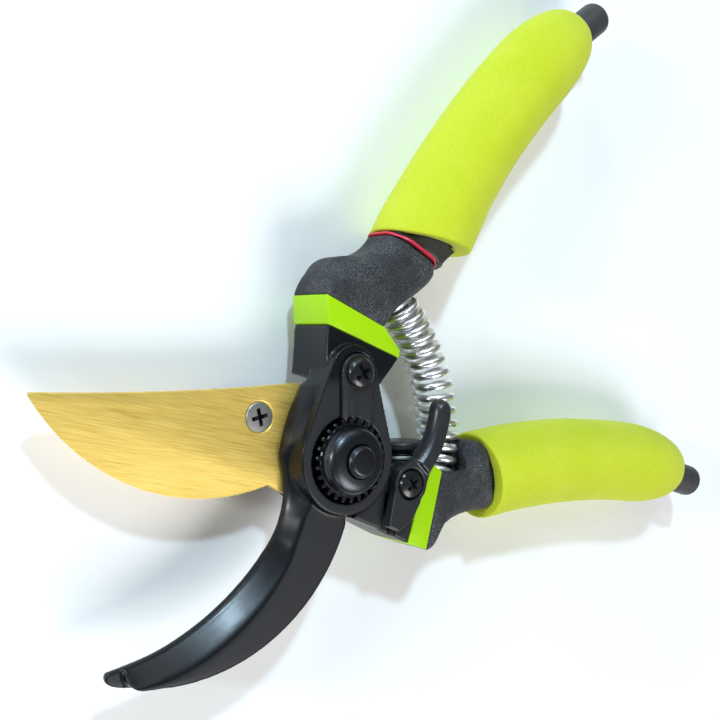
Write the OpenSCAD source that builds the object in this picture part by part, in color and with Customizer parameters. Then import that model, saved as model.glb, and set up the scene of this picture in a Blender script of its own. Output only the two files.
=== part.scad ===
// Bypass pruning shears, lying on their back with the handles open.
// Millimetres. The pivot axis is +Z through the origin and the resting plane is Z = 0.
// The hook, the long upper handle and the pivot bolt are one body. The blade and the
// lower handle swing about the pivot, and a thumb latch turns on the lower handle.

/* [Overall] */
// diameter of each foam sleeve, which sets the resting height
grip_d = 23; // [20:0.5:27]
// length of each foam sleeve along its curve
grip_len = 79.5; // [70:0.5:90]
// radius of the sleeves' bend
grip_bend_r = 200; // [150:5:300]
// thickness of the handle castings
body_t = 14; // [12:0.5:17]
// thickness of the cutting blade
blade_t = 2.8; // [2:0.1:3.4]
// thickness of the blade half of the lower casting
carrier_t = 5; // [4:0.1:6]
// gap left between pieces that slide past each other
run_gap = 0.3; // [0.2:0.05:0.4]

/* [Pivot] */
// diameter of the pivot bolt
bolt_d = 7.2; // [6:0.1:8]
// diameter of the pivot bush
bush_d = 11; // [10:0.1:13]
// radial clearance of the bush in the swinging pieces
bush_clear = 0.05; // [0.02:0.01:0.1]
// diameter of the bolt head at the back
bolt_head_d = 17; // [14:0.5:20]
// outside diameter of the raised ring round the nut
ring_d = 24.4; // [22:0.2:27]
// wall of the raised ring
ring_wall = 2.6; // [1.6:0.1:2.8]
// height of the raised ring above the casting
ring_h = 2; // [1:0.1:3]
// outside diameter of the nut's teeth
nut_d = 18.6; // [16:0.1:19.6]
// number of teeth on the nut
nut_teeth = 26; // [18:1:32]
// depth of the nut's teeth
tooth_depth = 1.1; // [0.8:0.1:1.8]
// thickness of the toothed part of the nut
nut_t = 3; // [2:0.1:4]
// height of the nut's tapered cap
nut_cap_h = 3.4; // [2:0.1:5]
// length of bolt standing out of the nut
bolt_out = 1.5; // [0.5:0.1:3]

/* [Blade and hook] */
// distance of the blade's tip in front of the pivot
blade_reach = 68.3; // [60:0.5:76]
// height of the blade's spine above the pivot
spine_y = 16.6; // [14:0.2:19]
// radius of the cutting edge
edge_r = 47; // [42:0.5:55]
// width of the bevel on the blade's back face
edge_bevel_w = 3.4; // [2:0.1:5]
// diameter of the blade screw's countersunk head
blade_screw_d = 7.2; // [6:0.1:8]
// radius of the long part of the hook's inner edge
hook_in_r = 56; // [50:0.5:65]
// radius of the hook's throat
throat_r = 19.3; // [16:0.1:23]
// radius of the hook's outer edge
hook_out_r = 42.8; // [38:0.2:50]
// width of the bevel along the hook's inner edge
hook_bevel_w = 3.3; // [2:0.1:4.5]
// thickness of the flat shearing layer of the hook
shear_t = 1.8; // [1:0.1:2.5]

/* [Grips] */
// width of the handle core inside a sleeve
core_w = 14.6; // [13:0.2:16]
// thickness of the handle core inside a sleeve
core_t = 12.6; // [10:0.2:13.5]
// diameter of the end tip
tip_d = 8.8; // [7:0.2:10]
// length of the end tip past the sleeve
tip_len = 11.5; // [6:0.5:14]
// wall of the foam where the tip leaves it
foam_lip = 2.2; // [1.8:0.1:3]
// length of the sleeve's rounded end
grip_round = 15; // [10:0.5:20]
// height of the pinstripe above the neck
stripe_proud = 0.3; // [0.2:0.05:0.5]
// width of the pinstripe
stripe_w = 1; // [0.6:0.1:1.6]

/* [Latch] */
// thickness of the latch lever
lever_t = 2.6; // [2:0.1:3.2]
// diameter of the latch lever's eye
lever_eye_d = 9.2; // [8:0.1:10]
// diameter of the latch screw head
lever_screw_d = 6.6; // [5.6:0.1:7.2]
// width of the half-round thumb arm
lever_arm_d = 5.4; // [4.6:0.1:6.4]
// height of the thumb arm above the latch's underside
lever_arm_h = 3.6; // [2.8:0.1:4.4]
// angle the handles close through
close_turn = 45; // [40:1:45]

/* [Spring] */
// outside diameter of the return spring
spring_d = 10.4; // [9:0.1:10.8]
// diameter of the spring wire
wire_d = 2; // [1.5:0.1:2.2]
// number of turns of the spring
spring_turns = 17; // [12:1:19]
// clearance round the spring in its pockets
pocket_clear = 0.4; // [0.2:0.1:0.6]

/* [Hidden] */
$fn = 72;

mid_z = grip_d / 2;
back_z = mid_z - body_t / 2;
front_z = mid_z + body_t / 2;
blade_z = back_z + carrier_t;
blade_top = blade_z + blade_t;
hook_z = blade_top + run_gap;
ring_r = ring_d / 2;
rim_z = front_z + ring_h;
nut_top = front_z + nut_t + nut_cap_h;
over = 1;              // how far a cutting shape runs past a face
boss_gap = 0.5;        // gap between the ring's boss and the swinging block
clear_r = ring_r + boss_gap; // lower casting's hollow round the ring
sweep_r = 16.9;        // upper casting's hollow round the swinging hub
hub_r = 11.8;          // hub disc of the blade and of its carrier
bush_r = bush_d / 2;
hub_bore_r = bush_r + bush_clear;

// pivot side of the hook plate
plate_left = [[-14.1, -6.5], [-13.3, 4], [-8.2, 16.4]];
// upper body outline, seen from the front
body_left_low = [-4.8, 18.5];
body_left_top = [-4.3, 36.3];
body_right_low = [9.1, 14.6];
body_right_mid = [15.7, 22];
band_left = [-4, 29.8];
band_right_top = [11.4, 29.1];
band_right = [15.9, 23.8];

// nut lock plate and its screw
lock_c = [2.3, 19];
lock_r = 4.3;
lock_t = 2.6;
lock_fit = 0.15;       // gap round the lock plate in its pocket
boss_c = [1.5, 19.2];  // the raised border round the lock plate is wider on its left
lock_boss_r = lock_r + lock_fit + 1.6;
lock_screw_d = 7;
lock_screw_h = 2.4;

// jaw points
hook_tip = [-52.3, -38.4];
hook_mid = [-16.8, -17.8];
hook_heel = [1.1, -14.7];
hook_toe = [-44.7, -42.6];
blade_screw_at = [-17.8, 9.7];

// handle curves: base point and base direction of each
upper_base = [27.2, 48.8];
upper_dir = 59.5;
upper_slant = 18;
lower_base = [44.7, -8.1];
lower_dir = 7.5;
lower_slant = 0;
grip_turn = grip_len / grip_bend_r * 180 / PI;
round_turn = grip_round / grip_bend_r * 180 / PI;
core_start = 3;        // how far a core reaches back past its sleeve
tip_bend = 6;          // the tips lean from the sleeve's end by this much
body_turn = grip_turn - round_turn;

bolt_chamfer = 0.8;    // bevel on the bolt's end

// latch and bumper
latch_at = [16.9, -6.75];
latch_z = front_z + 0.4;
bumper_x = 21.3;
bumper_base_y = -2;
bumper_d = 11.2;
peg_r = 1.8;
seat_h = 0.9;
cap_h = 1.9;
stem_h = 1.6;

// spring curve: three control points
spring_a = [31.5, -9];
spring_b = [37.5, 18];
spring_c = [17.5, 36.5];
pocket_r = spring_d / 2 + pocket_clear;
pocket_back = wire_d / 2 + 0.3;     // a pocket's floor lies this far behind the spring's end
stud_r = spring_d / 2 - wire_d - 0.5;
stud_len = 5;
low_pocket_dir = dir_of(spring_a, spring_b);
top_pocket_dir = dir_of(spring_b, spring_c);

black = [0.06, 0.06, 0.07];
dark = [0.14, 0.14, 0.15];
lime = [0.66, 0.92, 0.05];
foam = [0.84, 0.92, 0.2];
gold = [0.82, 0.66, 0.33];
steel = [0.75, 0.76, 0.78];

function dir_of(p, q) = atan2(q[1] - p[1], q[0] - p[0]);
function polar(r, a) = [r * cos(a), r * sin(a)];
function mix(p, q, t) = p + (q - p) * t;

// centre of the circle through three points
function centre3(p, q, r) =
  let (a = q - p, b = r - p, d = 2 * (a[0] * b[1] - a[1] * b[0]), u = a * a, v = b * b)
  p + [b[1] * u - a[1] * v, a[0] * v - b[0] * u] / d;

// centre of a circle of radius r through two points, on the left of p to q
function centre2(p, q, r) =
  let (m = (p + q) / 2, h = norm(q - p) / 2, n = [p[1] - q[1], q[0] - p[0]] / (2 * h))
  m + n * sqrt(max(0, r * r - h * h));

// points on a circle about c from p to q, going the short way
function arc_pts(c, p, q, n) =
  let (a = dir_of(c, p), d = dir_of(c, q) - a,
       s = d > 180 ? d - 360 : d < -180 ? d + 360 : d, r = norm(p - c))
  [for (i = [0:n]) c + polar(r, a + s * i / n)];

function arc3(p, q, r, n) = arc_pts(centre3(p, q, r), p, r, n);

// quadratic curve through control points a, b and c, and its direction
function curve(a, b, c, t) = mix(mix(a, b, t), mix(b, c, t), t);
function curve_dir(a, b, c, t) = dir_of(mix(a, b, t), mix(b, c, t));

function curve_pts(a, b, c, n) = [for (i = [0:n]) curve(a, b, c, i / n)];

module slab(z0, z1) { translate([0, 0, z0]) linear_extrude(z1 - z0) children(); }

module post(at, r, z0, z1) { translate([at[0], at[1], z0]) cylinder(r = r, h = z1 - z0); }

// a round bar in the XY plane at height z
module rod(at, dir, r, len, z) {
  translate([at[0], at[1], z]) rotate([0, 0, dir]) rotate([0, 90, 0]) cylinder(r = r, h = len);
}

// everything on the left of a line through p in direction dir
module left_of(p, dir, size = 300) {
  translate([p[0], p[1], mid_z - size / 2]) rotate([0, 0, dir]) translate([-size / 2, 0, 0])
    cube([size, size, size]);
}

// two round ends joined by their common tangents
module pear(c1, r1, c2, r2) {
  d = norm(c2 - c1);
  a = dir_of(c1, c2);
  b = acos((r1 - r2) / d);
  translate(c1) circle(r1);
  translate(c2) circle(r2);
  polygon([c1 + polar(r1, a - b), c2 + polar(r2, a - b), c2 + polar(r2, a + b), c1 + polar(r1, a + b)]);
}

module cross_recess(at, span, depth, top, turn = 20) {
  slot = span * 0.22;
  for (k = [0, 90])
    translate([at[0], at[1], top - depth / 2 + over / 2]) rotate([0, 0, turn + k])
      cube([span, slot, depth + over], center = true);
}

// bar along a bent handle: the bend turns to the right of the base direction
module bent(base, dir, from_turn, to_turn) {
  translate([base[0], base[1], mid_z]) rotate([0, 0, dir - 90])
    translate([grip_bend_r, 0, 0]) rotate([0, 0, 180 - to_turn])
      rotate_extrude(angle = to_turn - from_turn, $fn = 360)
        translate([grip_bend_r, 0]) children();
}

function bent_at(base, dir, turn) =
  let (c = base + polar(grip_bend_r, dir - 90)) c + polar(grip_bend_r, dir + 90 - turn);

module oval(w, t) {
  for (s = [-1, 1]) translate([s * (w - t) / 2, 0]) circle(d = t);
  square([w - t, t], center = true);
}

// ---------------------------------------------------------------- upper body

module hook_cut(grow) {
  big = centre2(hook_tip, hook_mid, hook_in_r);
  small = hook_mid + (big - hook_mid) / hook_in_r * throat_r;
  normal = dir_of(big, hook_mid);
  low = hook_z + shear_t;
  for (k = [[big, hook_in_r], [small, throat_r]])
    intersection() {
      union() {
        post(k[0], k[1], hook_z - over, low);
        translate([k[0][0], k[0][1], low - 0.01])
          cylinder(r1 = k[1], r2 = k[1] + grow, h = front_z - low + 0.01);
        post(k[0], k[1] + grow, front_z, front_z + over);
      }
      if (k[1] == hook_in_r) left_of(big, normal + 180);
    }
}

module hook_outline(toe) {
  outer = centre2(hook_toe, hook_heel, hook_out_r);
  polygon(concat(arc_pts(outer, hook_heel, hook_toe, 20), toe, arc3(plate_left[0], plate_left[1],
    plate_left[2], 10), [body_left_low, body_right_low, [0, 0]]));
}

module body_outline() {
  polygon([body_left_low, body_right_low, body_right_mid, band_left]);
}

// flat shape of the lock plate and, grown by a gap, of its pocket
module lock_outline(gap) {
  w = lock_r + gap;
  translate(lock_c) circle(w);
  polygon([lock_c + [-w, 0], [lock_c[0] - w, 7], [lock_c[0] + w - 0.6, 7], lock_c + [w, 0]]);
}

module lock_pocket() {
  circle(ring_r - ring_wall);
  lock_outline(lock_fit);
}

module ring_boss(gap) { pear([0, 0], ring_r + gap, boss_c, lock_boss_r + gap); }

module hook_casting() {
  color(black) difference() {
    union() {
      difference() {
        union() {
          slab(hook_z, hook_z + shear_t) hook_outline(curve_pts([-48, -42.6], [-56.5, -41.6],
            [-53.4, -38], 8));
          slab(hook_z, front_z) hook_outline(curve_pts([-47.5, -42.4], [-52.6, -41.4],
            [-49.6, -36.6], 8));
        }
        hook_cut(hook_bevel_w);
      }
      slab(hook_z, rim_z) circle(ring_r);
      slab(hook_z, front_z) ring_boss(0);
      difference() {
        slab(back_z, front_z) body_outline();
        slab(back_z - over, hook_z) circle(sweep_r);
      }
      slab(front_z, rim_z) ring_boss(0);
    }
    slab(front_z, rim_z + over) lock_pocket();
    post([0, 0], bolt_d / 2, hook_z - over, rim_z);
    post(lock_c, 2, front_z - 6, front_z + over);
  }
}

module upper_band() {
  color(lime) slab(back_z, front_z)
    polygon([band_left, body_right_mid, band_right, band_right_top, body_left_top]);
}

upper_neck_end = bent_at(upper_base, upper_dir, -2.2);

module upper_neck_outline() {
  polygon(concat([body_left_top], curve_pts([-4.1, 38.5], [-3, 44.8], [4, 45.1], 7),
    curve_pts([7, 45.3], [11.5, 46], [14.6, 50.4], 6),
    curve_pts([28.6, 42.6], [29.2, 40.4], [25.6, 38.1], 5), [[18.1, 33.1], band_right_top]));
}

// ring section that the pinstripe runs in
stripe_a = [14.6, 50.4];
stripe_b = [28.6, 42.6];
stripe_dir = dir_of(stripe_a, stripe_b);

module top_pocket() {
  rod(spring_c + polar(pocket_back, top_pocket_dir), top_pocket_dir + 180, pocket_r, 14, mid_z);
}

module stud_hole_top() { rod(spring_c, top_pocket_dir, stud_r, 4, mid_z); }

module upper_neck() {
  color(dark) difference() {
    slab(back_z, front_z) upper_neck_outline();
    top_pocket();
    stud_hole_top();
  }
}

// a flat collar across the handle from p to q
module collar(p, q, w, extra) {
  d = dir_of(p, q);
  translate([p[0], p[1], mid_z]) rotate([0, 0, d]) translate([-extra, 0, -body_t / 2 - extra])
    cube([norm(q - p) + 2 * extra, w, body_t + 2 * extra]);
}

module upper_pinstripe() { color([0.75, 0.1, 0.14]) collar(stripe_a, stripe_b, stripe_w, stripe_proud); }

stripe_far_a = stripe_a + polar(stripe_w, stripe_dir + 90);
stripe_far_b = stripe_b + polar(stripe_w, stripe_dir + 90);

// solid bar inside the sleeve, starting at the end face of its neck
module core(base, dir, face) {
  intersection() {
    bent(base, dir, -core_start / grip_bend_r * 180 / PI, body_turn) oval(core_w, core_t);
    left_of(face[0], face[1]);
  }
}

// a thinner root fills the wedge between the pinstripe and the slanted sleeve
module upper_core() {
  cut_dir = upper_dir + 90 + upper_slant;
  foot = upper_base - polar(0.1, upper_dir);
  color(black) union() {
    core(upper_base, upper_dir, [stripe_far_b, stripe_dir]);
    slab(mid_z - core_t / 2 + 0.6, mid_z + core_t / 2 - 0.6) polygon([stripe_far_b, stripe_far_a,
      foot + polar(core_w / 2, cut_dir), foot - polar(core_w / 2, cut_dir)]);
  }
}

// end of a core, where its tip begins, and the tip's direction
function core_end(base, dir) = bent_at(base, dir, body_turn);
function tip_dir(dir) = dir - body_turn - tip_bend;

// foam tube along the bend with a rounded end, cut at a slant at its base
module sleeve(base, dir, slant) {
  end = core_end(base, dir);
  lip = tip_d / 2 + foam_lip;
  lead = 2;            // the rounding starts this far before the core's end
  wide = grip_d / 2 + 0.6;
  color(foam) difference() {
    bent(base, dir, -3, grip_turn + 2) circle(grip_d / 2);
    translate([end[0], end[1], mid_z]) rotate([0, 0, dir - body_turn - tip_bend / 2]) rotate([0, 90, 0])
      rotate_extrude() polygon(concat([for (i = [0:6]) let (a = i * 15)
        [lip + (wide - lip) * cos(a), (grip_round + lead) * sin(a) - lead]],
        [[0, grip_round], [0, grip_round + 12], [wide + 8, grip_round + 12], [wide + 8, -lead]]));
    bent(base, dir, -4, body_turn) oval(core_w, core_t);
    rod(end - polar(1, tip_dir(dir)), tip_dir(dir), tip_d / 2, grip_round + 5, mid_z);
    left_of(base, dir + 90 + slant);
  }
}

module upper_sleeve() { sleeve(upper_base, upper_dir, upper_slant); }

module tip(base, dir) {
  end = core_end(base, dir);
  d = tip_dir(dir);
  run = grip_round + tip_len - tip_d / 2;
  far = end + polar(run, d);
  color(black) difference() {
    union() {
      rod(end - polar(1, d), d, tip_d / 2, run + 1, mid_z);
      translate([far[0], far[1], mid_z]) rotate([0, 0, d]) rotate([0, 90, 0]) sphere(d = tip_d + 0.06);
    }
    left_of(end, dir - body_turn + 90, 60);
  }
}

module upper_tip() { tip(upper_base, upper_dir); }

module pivot_bolt() {
  head_h = back_z - run_gap;
  color(steel) difference() {
    union() {
      cylinder(r1 = bolt_head_d / 2 - 1, r2 = bolt_head_d / 2, h = 1);
      post([0, 0], bolt_head_d / 2, 1, head_h);
      post([0, 0], bolt_d / 2, head_h, nut_top + bolt_out - bolt_chamfer);
      translate([0, 0, nut_top + bolt_out - bolt_chamfer])
        cylinder(r1 = bolt_d / 2, r2 = bolt_d / 2 - bolt_chamfer, h = bolt_chamfer);
    }
    for (k = [-1, 1]) translate([k * (bolt_head_d / 2 + 4), 0, 0]) cube([10, 30, 2 * (back_z - 1.6)], center = true);
  }
}

module pivot_bush() {
  color([0.7, 0.52, 0.3]) difference() {
    post([0, 0], bush_r, back_z - run_gap, hook_z);
    post([0, 0], bolt_d / 2, back_z - over, hook_z + over);
  }
}

module nut_outline(extra) {
  root = nut_d / 2 - tooth_depth + extra;
  circle(root);
  for (i = [0:nut_teeth - 1]) rotate((i + 0.5) * 360 / nut_teeth)
    polygon([[root - 0.6, -0.85 - extra], [nut_d / 2 + extra, -0.35 - extra],
      [nut_d / 2 + extra, 0.35 + extra], [root - 0.6, 0.85 + extra]]);
}

module adjusting_nut() {
  base_r = nut_d / 2 - tooth_depth - 0.4;
  color(black) difference() {
    union() {
      slab(front_z, front_z + nut_t) nut_outline(0);
      translate([0, 0, front_z + nut_t]) cylinder(r1 = base_r, r2 = base_r - 1, h = nut_cap_h * 0.7);
      translate([0, 0, front_z + nut_t + nut_cap_h * 0.7])
        cylinder(r1 = base_r - 1, r2 = base_r - 2.2, h = nut_cap_h * 0.3);
    }
    post([0, 0], bolt_d / 2, front_z - over, nut_top + over);
  }
}

module nut_lock_plate() {
  color(black) difference() {
    slab(front_z, front_z + lock_t) difference() {
      lock_outline(0);
      nut_outline(lock_fit);
    }
    post(lock_c, 2, front_z - over, front_z + lock_t + over);
  }
}

module lock_plate_screw() {
  top = front_z + lock_t + lock_screw_h;
  color(black) difference() {
    union() {
      post(lock_c, 2, front_z - 6, front_z + lock_t);
      post(lock_c, lock_screw_d / 2, front_z + lock_t, top - 0.9);
      translate([lock_c[0], lock_c[1], top - 0.9])
        cylinder(r1 = lock_screw_d / 2, r2 = lock_screw_d / 2 - 1.2, h = 0.9);
    }
    cross_recess(lock_c, 4.4, 1.6, top, 32);
  }
}

module upper_spring_stud() {
  color(steel) union() {
    rod(spring_c, top_pocket_dir, stud_r, 4, mid_z);
    rod(spring_c, top_pocket_dir + 180, stud_r, stud_len, mid_z);
  }
}

// --------------------------------------------------------------- lower body

edge_low = [-16.5, -5.4];
blade_tip = [-blade_reach, spine_y + 0.3];

module blade() {
  edge_c = edge_centre();
  color(gold) difference() {
    union() {
      intersection() {
        slab(blade_z, blade_top)
          polygon(concat(curve_pts(blade_tip, [-40, spine_y - 1.4], [-7.6, spine_y + 0.1], 8),
            [[-13, -6.9], [-16, -9], [-40, -20], [-blade_reach - 4, 8]]));
        translate([edge_c[0], edge_c[1], blade_z])
          cylinder(r1 = edge_r - edge_bevel_w, r2 = edge_r, h = blade_t, $fn = 180);
      }
      slab(blade_z, blade_top) union() {
        circle(hub_r);
        polygon([[-7.6, spine_y + 0.1], [-4.4, 15.7], [0, hub_r], [0, -hub_r], [-12.6, -6.8],
          [-15.2, -5.3], [-17.2, -3]]);
      }
    }
    post([0, 0], hub_bore_r, blade_z - over, blade_top + over);
    blade_sink();
  }
}

function edge_centre() = centre2(blade_tip - [0, 1], edge_low, edge_r);

module blade_sink() {
  deep = blade_screw_d / 4;
  post(blade_screw_at, blade_screw_d / 4, back_z - over, blade_top + over);
  translate([blade_screw_at[0], blade_screw_at[1], blade_top - deep])
    cylinder(r1 = blade_screw_d / 4, r2 = blade_screw_d / 2, h = deep);
}

module blade_screw() {
  color(steel) difference() {
    intersection() {
      blade_sink();
      slab(back_z, blade_top) translate(blade_screw_at) circle(blade_screw_d);
    }
    cross_recess(blade_screw_at, 4.2, 1.4, blade_top, 12);
  }
}

// lower body outline points
low_start = [2.9, -13.6];
low_a = [9.7, -16.5];
band2_low = [18.3, -20.9];
band2_right_low = [23.9, -23];
band2_top = [24.4, -2];
band2_right_top = [28.7, -5];

module low_pocket() {
  rod(spring_a - polar(pocket_back, low_pocket_dir), low_pocket_dir, pocket_r, 13, mid_z);
}

module lower_casting() {
  lug_r = 6;
  color(black) difference() {
    union() {
      slab(back_z, blade_z) union() {
        pear([0, 0], hub_r, blade_screw_at, lug_r);
        polygon([polar(hub_r, -62), low_start + [-2, 0], low_start, [9, 0], polar(hub_r, 20)]);
      }
      difference() {
        slab(back_z, front_z)
          polygon([low_start, low_a, band2_low, band2_top, [12, bumper_base_y], [5, -6]]);
        slab(blade_z, front_z + over) union() {
          circle(clear_r);
          rotate(-close_turn) ring_boss(boss_gap);
        }
      }
    }
    post([0, 0], hub_bore_r, back_z - over, blade_z + over);
    post(blade_screw_at, blade_screw_d / 4, back_z - over, blade_z + over);
    slab(front_z - 2.2, front_z + over)
      polygon([[12.2, -8], [14.6, -9.6], [14, -20.5], [10.4, -18.6]]);
    post(latch_at, 1.8, front_z - 7, front_z + over);
    bumper_peg();
  }
}

module bumper_peg() {
  translate([bumper_x, bumper_base_y, mid_z]) rotate([90, 0, 0]) cylinder(r = peg_r, h = 3.5);
}

module lower_band() {
  color(lime) difference() {
    slab(back_z, front_z) polygon([band2_low, band2_right_low, band2_right_top, band2_top]);
    low_pocket();
  }
}

// the lower neck ends on the sleeve's base plane
neck_face_dir = lower_dir + 90 + lower_slant;
lower_root_a = lower_base + polar(9, neck_face_dir);
lower_root_b = lower_base - polar(8, neck_face_dir);

module lower_neck() {
  color(dark) difference() {
    slab(back_z, front_z) polygon(concat([band2_right_low],
      curve_pts([24.6, -23.4], [27.4, -23.6], [28.8, -21.4], 4),
      curve_pts([31.4, -18.6], [35.6, -15.4], lower_root_b, 5),
      [lower_root_a], curve_pts([39.4, 1.6], [38, 1.2], [37.3, -1.5], 4),
      [[36.6, -5.4], [30.2, -5.4], band2_right_top]));
    low_pocket();
    rod(spring_a, low_pocket_dir + 180, stud_r, 4, mid_z);
  }
}

module lower_core() { color(black) core(lower_base, lower_dir, [lower_root_b, neck_face_dir + 180]); }

module lower_sleeve() { sleeve(lower_base, lower_dir, lower_slant); }

module lower_tip() { tip(lower_base, lower_dir); }

module bumper_seat() {
  color(steel) difference() {
    translate([bumper_x, bumper_base_y, mid_z]) rotate([-90, 0, 0]) cylinder(r1 = 5, r2 = 4.4, h = seat_h);
    translate([bumper_x, bumper_base_y - over, mid_z]) rotate([-90, 0, 0]) cylinder(r = peg_r, h = seat_h + 2);
  }
}

module bumper() {
  top = seat_h + stem_h;
  color([0.2, 0.2, 0.21]) union() {
    bumper_peg();
    translate([bumper_x, bumper_base_y, mid_z]) rotate([-90, 0, 0]) {
      cylinder(r = peg_r, h = seat_h);
      translate([0, 0, seat_h]) cylinder(r = 4, h = stem_h);
      translate([0, 0, top]) cylinder(d = bumper_d, h = cap_h - 0.6);
      translate([0, 0, top + cap_h - 0.6]) cylinder(d1 = bumper_d, d2 = bumper_d - 1.4, h = 0.6);
    }
  }
}

module lower_spring_stud() {
  color(steel) union() {
    rod(spring_a, low_pocket_dir + 180, stud_r, 4, mid_z);
    rod(spring_a, low_pocket_dir, stud_r, stud_len, mid_z);
  }
}

module latch_washer() {
  color(steel) difference() {
    post(latch_at, 3.6, front_z, latch_z - 0.05);
    post(latch_at, 1.8, front_z - over, latch_z + over);
  }
}

module latch_screw() {
  seat = latch_z + lever_t - 1.1;
  color(black) difference() {
    union() {
      post(latch_at, 1.8, front_z - 7, latch_z);
      post(latch_at, 2.2, latch_z - 0.05, seat);
      post(latch_at, lever_screw_d / 2, seat + 0.05, seat + 1.7);
      post(latch_at, 2.2, seat, seat + 0.1);
    }
    cross_recess(latch_at, 4, 1.2, seat + 1.7, 38);
  }
}

// ------------------------------------------------------------------- latch

arm_at = [20.2, -3.2];    // start of the half-round arm
arm_dir = 45;
arm_bend_r = 22;
arm_turn = 38;
horn_slim = 0.03;         // the horn's round end is this much smaller than its arm

// section of the arm, standing on the latch's underside, from its middle to each side
function arm_side(k, slim = 0) = let (w = lever_arm_d / 2 - slim, h = lever_arm_h - slim)
  [[k * w, 0], [k * w, h * 0.45], [k * w * 0.82, h * 0.78], [k * w * 0.45, h]];

module thumb_latch() {
  seat = latch_z + lever_t - 1.1;
  turn_at = arm_at + polar(arm_bend_r, arm_dir + 90);
  horn = turn_at + polar(arm_bend_r, arm_dir - 90 + arm_turn);
  color(black) difference() {
    union() {
      slab(latch_z, latch_z + lever_t) {
        translate(latch_at) circle(lever_eye_d / 2);
        polygon([[13.3, -17.2], [10.6, -15.8], [12.4, -7.5], [16.9, -2.2], [21.4, -6], [19.4, -11.6],
          [16.9, -15.3]]);
        polygon([latch_at + [-2.6, 3.6], arm_at + polar(3, arm_dir + 98), arm_at + polar(2.6, arm_dir + 60),
          arm_at + polar(2.6, arm_dir - 60), latch_at + [4.5, -0.6]]);
      }
      translate([turn_at[0], turn_at[1], latch_z]) rotate([0, 0, arm_dir - 90])
        rotate_extrude(angle = arm_turn, $fn = 180) translate([arm_bend_r, 0])
          polygon(concat(arm_side(1), [for (i = [3:-1:0]) arm_side(-1)[i]]));
      translate([horn[0], horn[1], latch_z]) rotate_extrude()
        polygon(concat([[0, 0]], arm_side(1, horn_slim), [[0, lever_arm_h - horn_slim]]));
    }
    post(latch_at, 2.25, latch_z - over, latch_z + 9);
    post(latch_at, lever_screw_d / 2 + 0.35, seat, latch_z + 9);
  }
}

// ------------------------------------------------------------------ spring

module return_spring() {
  steps = 14;
  sides = 6;
  n = steps * spring_turns;
  r = (spring_d - wire_d) / 2;
  rings = [for (i = [0:n]) let (t = i / n, p = curve(spring_a, spring_b, spring_c, t),
      d = curve_dir(spring_a, spring_b, spring_c, t), a = 360 * i / steps,
      side = polar(1, d - 90), out = [side[0] * cos(a), side[1] * cos(a), sin(a)])
    for (k = [0:sides - 1]) let (b = 360 * k / sides, q = r + wire_d / 2 * cos(b))
      [p[0], p[1], mid_z] + out * q + concat(polar(wire_d / 2 * sin(b), d), 0)];
  walls = [for (i = [0:n - 1]) for (k = [0:sides - 1])
    [i * sides + k, i * sides + (k + 1) % sides, (i + 1) * sides + (k + 1) % sides, (i + 1) * sides + k]];
  first = [for (k = [0:sides - 1]) sides - 1 - k];
  last = [for (k = [0:sides - 1]) n * sides + k];
  color(steel) polyhedron(points = rings, faces = concat(walls, [first], [last]));
}

hook_casting();
upper_band();
upper_neck();
upper_pinstripe();
upper_core();
upper_sleeve();
upper_tip();
pivot_bolt();
pivot_bush();
adjusting_nut();
nut_lock_plate();
lock_plate_screw();
upper_spring_stud();
return_spring();
blade();
blade_screw();
lower_casting();
lower_band();
lower_neck();
lower_core();
lower_sleeve();
lower_tip();
bumper_seat();
bumper();
lower_spring_stud();
latch_washer();
latch_screw();
thumb_latch();
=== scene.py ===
import math

import bmesh
import bpy
from mathutils import Matrix, Vector, noise


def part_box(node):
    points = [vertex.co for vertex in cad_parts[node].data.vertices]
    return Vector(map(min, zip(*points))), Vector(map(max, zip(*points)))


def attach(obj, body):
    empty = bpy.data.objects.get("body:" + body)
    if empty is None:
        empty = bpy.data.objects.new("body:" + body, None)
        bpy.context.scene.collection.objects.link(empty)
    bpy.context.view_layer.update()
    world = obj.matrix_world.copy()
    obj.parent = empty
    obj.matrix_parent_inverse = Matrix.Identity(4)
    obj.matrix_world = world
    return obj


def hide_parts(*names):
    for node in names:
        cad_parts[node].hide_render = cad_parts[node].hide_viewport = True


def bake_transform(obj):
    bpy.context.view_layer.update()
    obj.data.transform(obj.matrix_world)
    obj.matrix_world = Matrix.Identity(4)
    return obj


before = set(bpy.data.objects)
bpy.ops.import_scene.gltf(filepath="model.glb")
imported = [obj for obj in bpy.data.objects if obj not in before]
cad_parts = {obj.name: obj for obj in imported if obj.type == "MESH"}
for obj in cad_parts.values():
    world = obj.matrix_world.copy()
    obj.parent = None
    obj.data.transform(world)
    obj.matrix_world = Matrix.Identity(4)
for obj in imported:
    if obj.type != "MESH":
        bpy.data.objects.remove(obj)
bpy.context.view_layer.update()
mm = 0.001
print("frame loaded:", len(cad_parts), "nodes")


class Number:
    # a value socket; Python arithmetic on it adds Math nodes

    def __init__(self, finish, socket):
        self.finish, self.socket = finish, socket

    def maths(self, operation, *values):
        return self.finish.add("ShaderNodeMath", {"operation": operation}, dict(enumerate(values)))[0]

    def __add__(self, other):
        return self.maths("ADD", self, other)

    def __sub__(self, other):
        return self.maths("SUBTRACT", self, other)

    def __rsub__(self, other):
        return self.maths("SUBTRACT", other, self)

    def __mul__(self, other):
        return self.maths("MULTIPLY", self, other)

    __radd__ = __add__
    __rmul__ = __mul__

    def ramp(self, low, high):
        # 0 below low, 1 above high, smooth between
        sockets = {"Value": self, "From Min": low, "From Max": high}
        return self.finish.add("ShaderNodeMapRange", {"interpolation_type": "SMOOTHSTEP"}, sockets)[0]


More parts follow.
